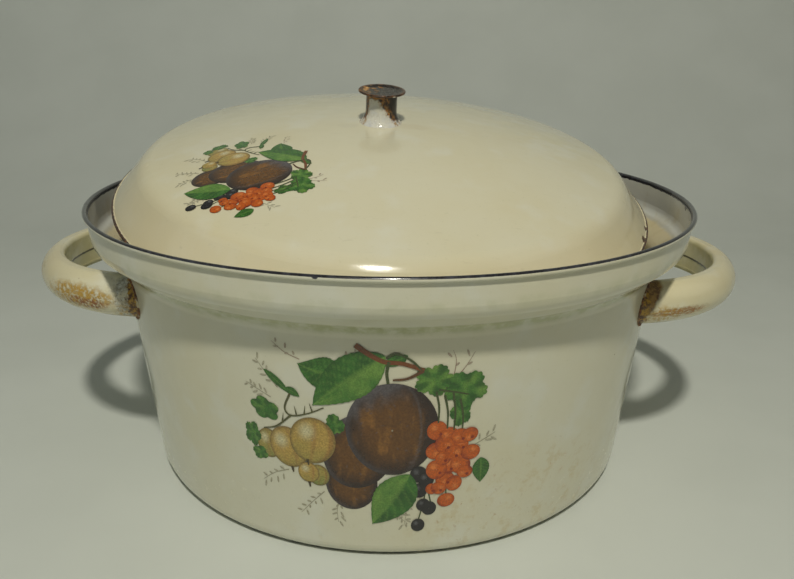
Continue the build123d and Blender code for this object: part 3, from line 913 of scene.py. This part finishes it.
def draw_motif():
    """Every shape of the motif, sorted into prints by the material they take."""
    plums, leaves, goose, currants, berries, twigs, sprigs = (Print() for _ in range(7))
    plums.disc(-18.3, 46.3, 12.8, 15.4, 1, plum_tone(0.4, 3.0), rings=16, around=64)
    plums.disc(-14.4, 65.0, 17.0, 21.4, 2, plum_tone(0.65, 7.0), turn=-0.30, rings=18, around=72)
    plums.disc(1.4, 77.6, 21.6, 25.2, 4, plum_tone(0.85, 1.0, 0.62), rings=24, around=84)

    goose.disc(-59.8, 63.4, 6.4, 8.4, 1, goose_tone(2.0, 0.35), rings=12)
    goose.disc(-49.2, 63.4, 9.8, 11.6, 2, goose_tone(5.0, -0.1), turn=0.2, rings=14, around=52)
    goose.disc(-34.6, 49.4, 5.6, 6.2, 3, goose_tone(8.0, 0.5), rings=12)
    goose.disc(-36.6, 69.1, 11.4, 13.0, 4, goose_tone(1.0, 0.0), turn=-0.15, rings=20, around=64)
    goose.disc(-39.5, 50.4, 5.5, 6.0, 5, goose_tone(4.0, 0.0), rings=12)
    for x, y in ((-47.9, 50.3), (-39.5, 43.0), (-39.6, 56.0)):
        twigs.ribbon([(x, y + 2.0), (x + 0.4, y - 1.2)], 1.5, 7, (0.07, 0.05, 0.02))

    leaves.leaf((-20.0, 106.0), (-41.5, 110.6), 8.4, 3.0, 5, leaf_tone(2.0))
    leaves.leaf((-2.8, 116.4), (-35.8, 88.6), 10.6, -1.5, 7, leaf_tone(5.0, 1), teeth=15)
    leaves.leaf((9.8, 51.6), (-8.6, 22.0), 10.2, 1.6, 7, leaf_tone(9.0, -1, 7.0))
    leaves.leaf((-58.0, 104.6), (-45.6, 93.2), 1.9, 0.6, 3, leaf_tone(11.0))
    leaves.leaf((-47.6, 96.6), (-41.2, 92.6), 2.0, 0.4, 4, leaf_tone(13.0))
    leaves.leaf((45.0, 58.2), (45.8, 43.6), 4.4, 0.5, 4, leaf_tone(15.0))
    leaves.leaf((7.6, 117.0), (-4.5, 112.4), 2.6, 1.2, 6, leaf_tone(17.0))
    leaves.disc(-25.4, 79.4, 5.0, 6.0, 3, vine_tone(3.0, 0.2), outline=lobed(3, 0.4))
    leaves.disc(-59.8, 83.2, 8.2, 6.2, 3, vine_tone(1.0, 0.15), turn=-0.4, outline=lobed(5, 1.1))
    leaves.disc(-68.3, 67.0, 4.8, 7.4, 2, vine_tone(5.0, 0.2), outline=lobed(5, 0.3))
    leaves.disc(-65.2, 56.6, 4.6, 4.2, 2, vine_tone(7.0, 0.3), outline=lobed(4, 0.9))
    leaves.disc(20.0, 104.0, 9.6, 8.6, 5, vine_tone(2.0, 0.55), outline=lobed(5, 0.2), around=60)
    leaves.disc(34.8, 98.6, 10.6, 10.0, 6, vine_tone(4.0, 0.35), outline=lobed(5, 0.8), around=60)
    leaves.disc(33.0, 86.0, 5.4, 8.0, 5, vine_tone(6.0, 0.25), outline=lobed(5, 1.5), around=48)

    cluster = (
        (22.3, 76.8, 4.9), (28.5, 73.8, 4.3), (33.6, 72.8, 4.2), (38.2, 73.1, 3.9), (21.6, 65.4, 4.3),
        (26.4, 68.8, 4.9), (30.8, 63.5, 4.4), (39.3, 62.9, 4.4), (28.7, 56.0, 4.4), (22.9, 54.6, 5.2),
        (34.6, 56.2, 5.0), (37.1, 51.9, 3.7), (27.4, 48.2, 4.4), (31.9, 45.6, 4.2), (20.9, 43.3, 3.0),
        (24.3, 43.5, 3.6), (28.5, 35.8, 4.1), (34.2, 67.6, 3.6), (25.8, 61.0, 3.8),
    )
    dot_tone = round_tone(CURRANT_DARK, CURRANT_DARK, CURRANT_DARK, 0.0)
    for index, (x, y, size) in enumerate(cluster):
        tone = round_tone(CURRANT, CURRANT_LIGHT, CURRANT_DARK, index * 1.7)
        currants.disc(x, y, size, size * 1.10, 6 + (index % 4), tone, turn=index * 0.7, rings=7, around=28)
        if index % 3 != 1:
            currants.disc(x + size * 0.35, y - size * 0.4, 0.8, 0.8, 10.5, dot_tone, rings=3, around=12)
    spray = (
        (14.3, 52.3, 4.2), (18.1, 49.1, 3.9), (15.0, 42.7, 3.9),
        (17.0, 33.9, 3.4), (20.1, 31.6, 3.7), (14.8, 21.5, 3.5),
    )
    for index, (x, y, size) in enumerate(spray):
        tone = round_tone(BERRY, BERRY_LIGHT, (0.006, 0.006, 0.007), index * 2.3)
        berries.disc(x, y, size, size * 1.12, 5 + index % 2, tone, rings=7, around=28)

    branch = [(-14.8, 122.0), (-9.2, 117.8), (-2.4, 114.0), (5.8, 113.0), (15.2, 109.4)]
    twigs.ribbon(branch, 2.6, 8, TWIG, 0.75)
    twigs.ribbon([(14.8, 109.2), (8.0, 105.4), (1.4, 104.6)], 1.8, 8, (0.13, 0.05, 0.014))
    twigs.ribbon([(-1.6, 116.2), (3.2, 118.0), (9.4, 114.6), (14.0, 109.6)], 1.2, 8, STALK, 0.8)
    twigs.ribbon([(-0.2, 114.0), (-1.2, 108.6), (-0.6, 102.6)], 1.5, 8, STALK, 0.9)
    thorny = [(-46.0, 93.8), (-49.2, 85.6), (-46.4, 81.7), (-38.2, 83.9), (-30.0, 88.2)]
    twigs.ribbon(thorny, 1.1, 5, THORN)
    twigs.ribbon([(-46.4, 81.7), (-54.4, 74.4), (-61.6, 71.8)], 1.1, 5, THORN)
    for x, y, lean_x in ((-43.5, 82.6, -0.8), (-39.6, 83.6, 0.6), (-35.6, 85.2, -1.2), (-51.0, 77.8, 0.8)):
        twigs.ribbon([(x, y), (x + lean_x, y + 4.6)], 0.9, 5, THORN, 0.2)
    hanging = (
        ((21.0, 98.0), (22.6, 81.0)), ((25.0, 96.0), (27.0, 77.5)), ((28.8, 97.0), (30.2, 76.4)),
        ((32.3, 93.3), (34.3, 75.6)), ((22.0, 99.0), (36.0, 95.4)),
    )
    for start, end in hanging:
        middle = ((start[0] + end[0]) / 2 + 0.8, (start[1] + end[1]) / 2)
        twigs.ribbon([start, middle, end], 1.1, 7, STALK, 0.7)
    lower = (
        ((16.6, 46.0), (17.6, 40.0), (17.0, 34.0), (14.8, 24.0)),
        ((28.0, 44.0), (28.6, 37.0)),
        ((19.4, 42.0), (21.2, 33.0)),
    )
    for points in lower:
        twigs.ribbon(points, 0.8, 4, STALK, 0.8)

    # Faint grasses and seed heads stand out behind the fruit.
    tufts = (
        (-40.0, 112.5, 2.6, 15.0, 5, FAINT_RED), (-22.0, 113.0, 0.6, 10.0, 4, FAINT_RED),
        (-52.0, 96.0, 2.2, 17.0, 9, FAINT), (-56.0, 90.0, 2.7, 14.0, 8, FAINT),
        (-50.0, 50.0, 3.7, 18.0, 8, FAINT), (-32.0, 40.0, 4.0, 20.0, 9, FAINT),
        (-24.0, 36.0, 4.6, 14.0, 8, FAINT), (8.0, 38.0, 4.7, 17.0, 7, FAINT),
        (2.0, 34.0, 5.3, 14.0, 7, FAINT), (40.0, 66.0, 0.5, 13.0, 6, FAINT),
        (28.6, 106.0, 1.65, 13.0, 2, FAINT_RED), (31.6, 107.0, 1.05, 12.0, 2, FAINT_RED),
    )
    draw = random.Random(7)
    for x, y, heading, reach, leaflets, tone in tufts:
        end = (x + reach * math.cos(heading), y + reach * math.sin(heading))
        sag = (x + end[0]) / 2 + draw.uniform(-1.5, 1.5), (y + end[1]) / 2 + draw.uniform(-1.5, 1.5)
        sprigs.ribbon([(x, y), sag, end], 0.5, 0, tone, 0.4)
        for index in range(leaflets):
            share = (index + 1) / (leaflets + 1)
            turn = heading + (0.8 if index % 2 else -0.8) + draw.uniform(-0.3, 0.3)
            bx, by = x + (end[0] - x) * share, y + (end[1] - y) * share
            size = draw.uniform(1.6, 3.4)
            fade = blend_tone(tone, (0.56, 0.53, 0.38), draw.uniform(0.2, 0.8))
            cx, cy = bx + size * math.cos(turn), by + size * math.sin(turn)
            sprigs.disc(cx, cy, size * 0.62, 0.55, 0, flat_tone(fade), turn=turn, rings=2, around=10)
    return {
        "plums": plums, "leaves": leaves, "gooseberries": goose, "currants": currants,
        "berries": berries, "twigs": twigs, "sprigs": sprigs,
    }


def print_material(name, fleck_size):
    """Fired transfer print: toned by the drawing, flecked like stippled ink, glossy."""
    s = Shader(name, coat=0.4)
    attribute = s.tree.nodes.new("ShaderNodeAttribute")
    attribute.attribute_name = "tone"
    ink = attribute.outputs["Color"]
    dim = s.vector("SCALE", ink)
    dim.inputs["Scale"].default_value = 0.62
    fleck = s.rise(s.noise(fleck_size, 4.0, 0.7), 0.36, 0.66)
    s.colour(s.mix(fleck, dim.outputs[0], ink))
    s.rough(s.rise(s.noise(12.0, 3.0), 0.3, 0.75, 0.15, 0.26))
    s.relief((s.noise(9.0, 2.0, 0.4, shift=12.0), 0.10))
    return s.material


inks = {
    "plums": print_material("print_plum", 1.1),
    "leaves": print_material("print_leaf", 0.8),
    "gooseberries": print_material("print_gooseberry", 0.9),
    "currants": print_material("print_currant", 0.9),
    "berries": print_material("print_berry", 1.2),
    "twigs": print_material("print_twig", 0.8),
    "sprigs": print_material("print_sprig", 0.6),
}
motif = draw_motif()
for kind, shapes in motif.items():
    shapes.wrap(f"motif_pot_{kind}", on_pot, inks[kind], "pot", "pot_enamel")
    shapes.wrap(f"motif_lid_{kind}", on_lid, inks[kind], "lid", "lid_enamel")


# ---- floor, light and camera ----
def studio_floor():
    """A pale floor that sweeps up into a backdrop."""
    profile = [(-2.4, 0.0), (0.0, 0.0), (0.45, 0.0)]
    bend, wall_top = 0.5, 1.9
    for index in range(1, 25):
        angle = math.pi / 2 * index / 24
        profile.append((0.45 + bend * math.sin(angle), bend * (1 - math.cos(angle))))
    profile.append((0.45 + bend, wall_top))
    points, faces = [], []
    for y, z in profile:
        points += [(-3.2, y, z), (3.2, y, z)]
    for index in range(len(profile) - 1):
        a = index * 2
        faces.append((a, a + 1, a + 3, a + 2))
    mesh = bpy.data.meshes.new("studio_floor")
    mesh.from_pydata(points, [], faces)
    for polygon in mesh.polygons:
        polygon.use_smooth = True
    floor = bpy.data.objects.new("studio_floor", mesh)
    bpy.context.scene.collection.objects.link(floor)
    s = Shader("studio_floor_pale", roughness=0.6)
    s.colour(s.mix(s.rise(s.noise(120.0, 3.0), 0.3, 0.7), (0.62, 0.65, 0.59), (0.65, 0.68, 0.62)))
    s.relief((s.noise(1.5, 3.0), 0.03))
    mesh.materials.append(s.material)


def area_light(name, place, target, size, power, colour):
    data = bpy.data.lights.new(name, "AREA")
    data.shape = "DISK"
    data.size = size
    data.energy = power
    data.color = colour
    light = bpy.data.objects.new(name, data)
    light.location = place
    light.rotation_euler = (Vector(target) - Vector(place)).to_track_quat("-Z", "Y").to_euler()
    bpy.context.scene.collection.objects.link(light)


def set_camera():
    """The camera stands in front of the pot and looks down on it."""
    elevation, distance = math.radians(28.587), 0.522214
    yaw, pitch, tilt = (math.radians(a) for a in (0.5387, -9.682, -0.3081))
    place = Vector((0, -distance * math.cos(elevation), distance * math.sin(elevation)))
    forward = -place.normalized()
    right = Vector((1, 0, 0))
    up = right.cross(forward)
    rest = Matrix((right, up, -forward))
    swing = Matrix.Rotation(pitch, 3, "X") @ Matrix.Rotation(yaw, 3, "Y") @ rest
    turned = Matrix.Rotation(tilt, 3, "Z") @ swing
    data = bpy.data.cameras.new("camera")
    data.sensor_width = 36.0
    data.lens = 33.315
    data.clip_start = 0.01
    camera = bpy.data.objects.new("camera", data)
    camera.matrix_world = Matrix.Translation(place) @ turned.transposed().to_4x4()
    bpy.context.scene.collection.objects.link(camera)
    bpy.context.scene.camera = camera


studio_floor()
set_camera()
area_light("key", (0.02, -0.92, 1.30), (0, 0, 0.10), 0.11, 13.6, (1.0, 0.97, 0.87))
area_light("fill_left", (-1.6, -0.6, 0.9), (0, 0, 0.10), 1.4, 1.6, (0.82, 0.96, 1.0))
area_light("fill_right", (1.6, -0.4, 1.0), (0, 0, 0.10), 1.4, 1.2, (1.0, 0.98, 0.82))
area_light("fill_back", (0.5, 1.7, 1.1), (0, 0, 0.10), 1.4, 3.0, (0.94, 0.98, 1.0))
world = bpy.data.worlds.new("studio")
world.use_nodes = True
world.node_tree.nodes["Background"].inputs["Color"].default_value = (0.82, 0.86, 0.86, 1.0)
world.node_tree.nodes["Background"].inputs["Strength"].default_value = 0.10
bpy.context.scene.world = world
bpy.context.scene.view_settings.view_transform = "Standard"
